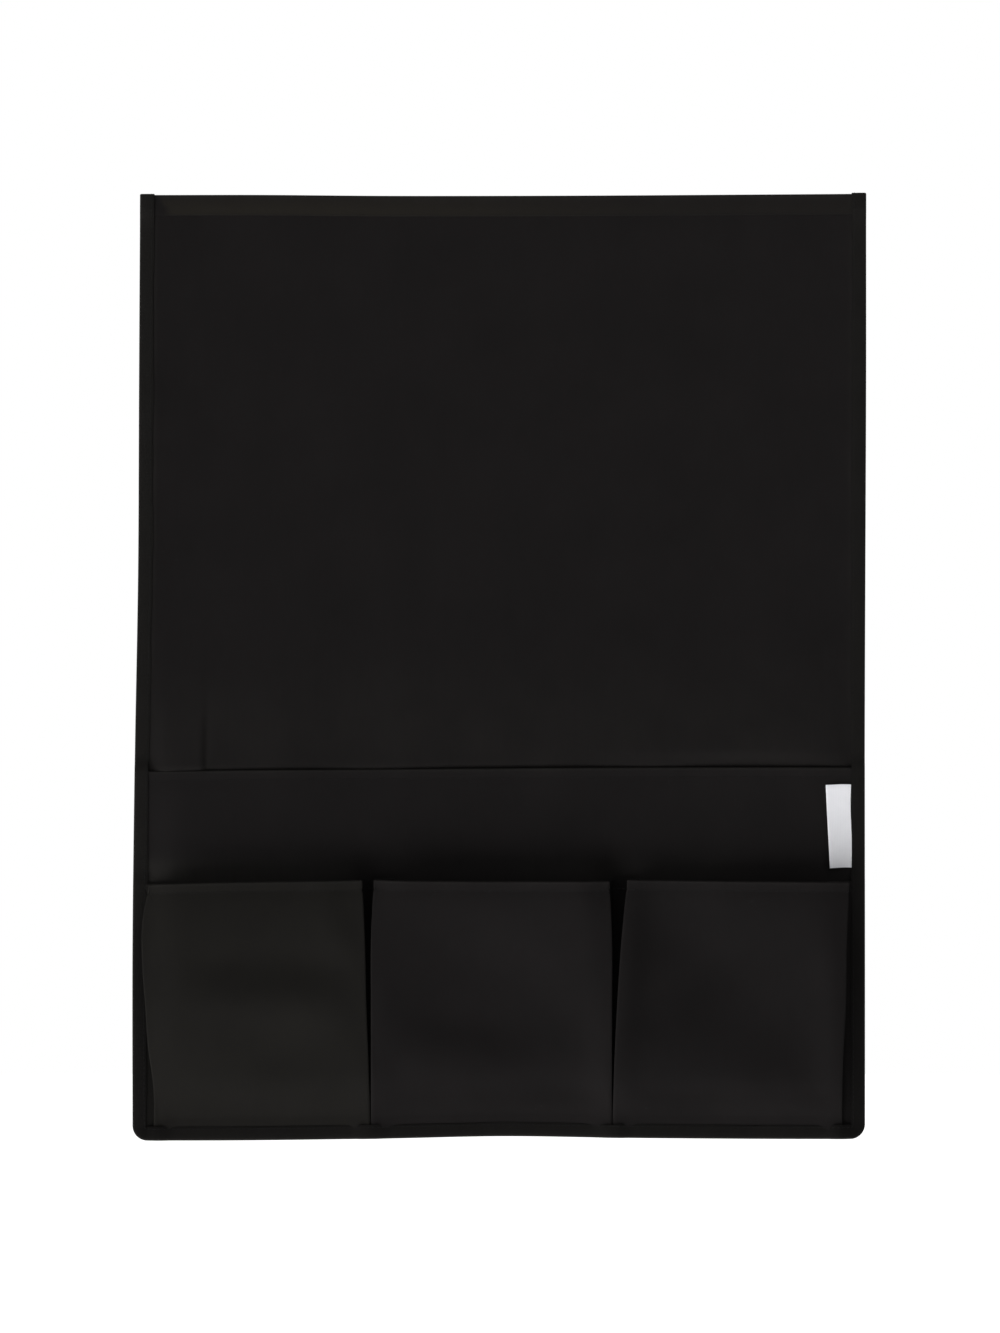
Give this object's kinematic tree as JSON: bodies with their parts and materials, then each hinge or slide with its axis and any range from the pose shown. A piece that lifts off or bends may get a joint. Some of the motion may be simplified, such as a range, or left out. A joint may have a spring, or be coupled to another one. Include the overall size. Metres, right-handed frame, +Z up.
{
  "type": "bedside caddy",
  "caption": "Bound cloth panel with a plain tuck-in flap above, a full-width magazine pocket and pleated front pockets below, and a bare side label.",
  "frame": {"origin": "centre of the tuck flap's flat back face", "axes": "+Z up along the cloth from the pockets to the flap's hem, +Y out of the back face, -Y the side with the pockets, +X to the right seen from the pockets"},
  "size_m": [0.464, 0.0272, 0.6015],
  "materials": {
    "panel_cloth": "fine plain weave, matt black",
    "pocket_cloth": "fine plain weave, matt black",
    "binding_tape": "ribbed woven tape, matt black",
    "label_weave": "satin woven label, white, bare"
  },
  "bodies": {
    "tuck_flap": {"tuck_flap_cloth": "panel_cloth", "tuck_flap_binding_left": "binding_tape", "tuck_flap_binding_right": "binding_tape"},
    "hanging_panel": {"hanging_panel_cloth": "panel_cloth", "magazine_pocket_panel": "panel_cloth", "pocket_strip_seam_allowance": "pocket_cloth", "lower_edge_binding": "binding_tape", "pocket_left_gusset_left": "pocket_cloth", "pocket_left_gusset_right": "pocket_cloth", "pocket_middle_gusset_left": "pocket_cloth", "pocket_middle_gusset_right": "pocket_cloth", "pocket_right_gusset_left": "pocket_cloth", "pocket_right_gusset_right": "pocket_cloth"},
    "pocket_left": {"pocket_left_face": "pocket_cloth"},
    "pocket_middle": {"pocket_middle_face": "pocket_cloth"},
    "pocket_right": {"pocket_right_face": "pocket_cloth"},
    "label": {"side_label": "label_weave"}
  },
  "joints": [
    {"name": "flap_fold", "type": "hinge", "parent": "tuck_flap", "child": "hanging_panel", "pos_m": [0, 0.001, -0.1575], "axis": [1, 0, 0], "range_deg": [0, 175]},
    {"name": "pocket_left_mouth", "type": "hinge", "parent": "hanging_panel", "child": "pocket_left", "pos_m": [-0.1516, -0.0037, -0.4332], "axis": [1, 0, 0], "range_deg": [-5, 5], "stiffness_Nm_per_rad": 0.5, "deforming": ["pocket_left_gusset_left", "pocket_left_gusset_right"]},
    {"name": "pocket_middle_mouth", "type": "hinge", "parent": "hanging_panel", "child": "pocket_middle", "pos_m": [-0.0046, -0.0037, -0.4332], "axis": [1, 0, 0], "range_deg": [-5, 5], "stiffness_Nm_per_rad": 0.5, "deforming": ["pocket_middle_gusset_left", "pocket_middle_gusset_right"]},
    {"name": "pocket_right_mouth", "type": "hinge", "parent": "hanging_panel", "child": "pocket_right", "pos_m": [0.1469, -0.0037, -0.4332], "axis": [1, 0, 0], "range_deg": [-5, 5], "stiffness_Nm_per_rad": 0.5, "deforming": ["pocket_right_gusset_left", "pocket_right_gusset_right"]},
    {"name": "label_flap", "type": "hinge", "parent": "hanging_panel", "child": "label", "pos_m": [0.2216, -0.00395, -0.244], "axis": [0, 0, 1], "range_deg": [0, 120], "stiffness_Nm_per_rad": 0.0005}
  ]
}
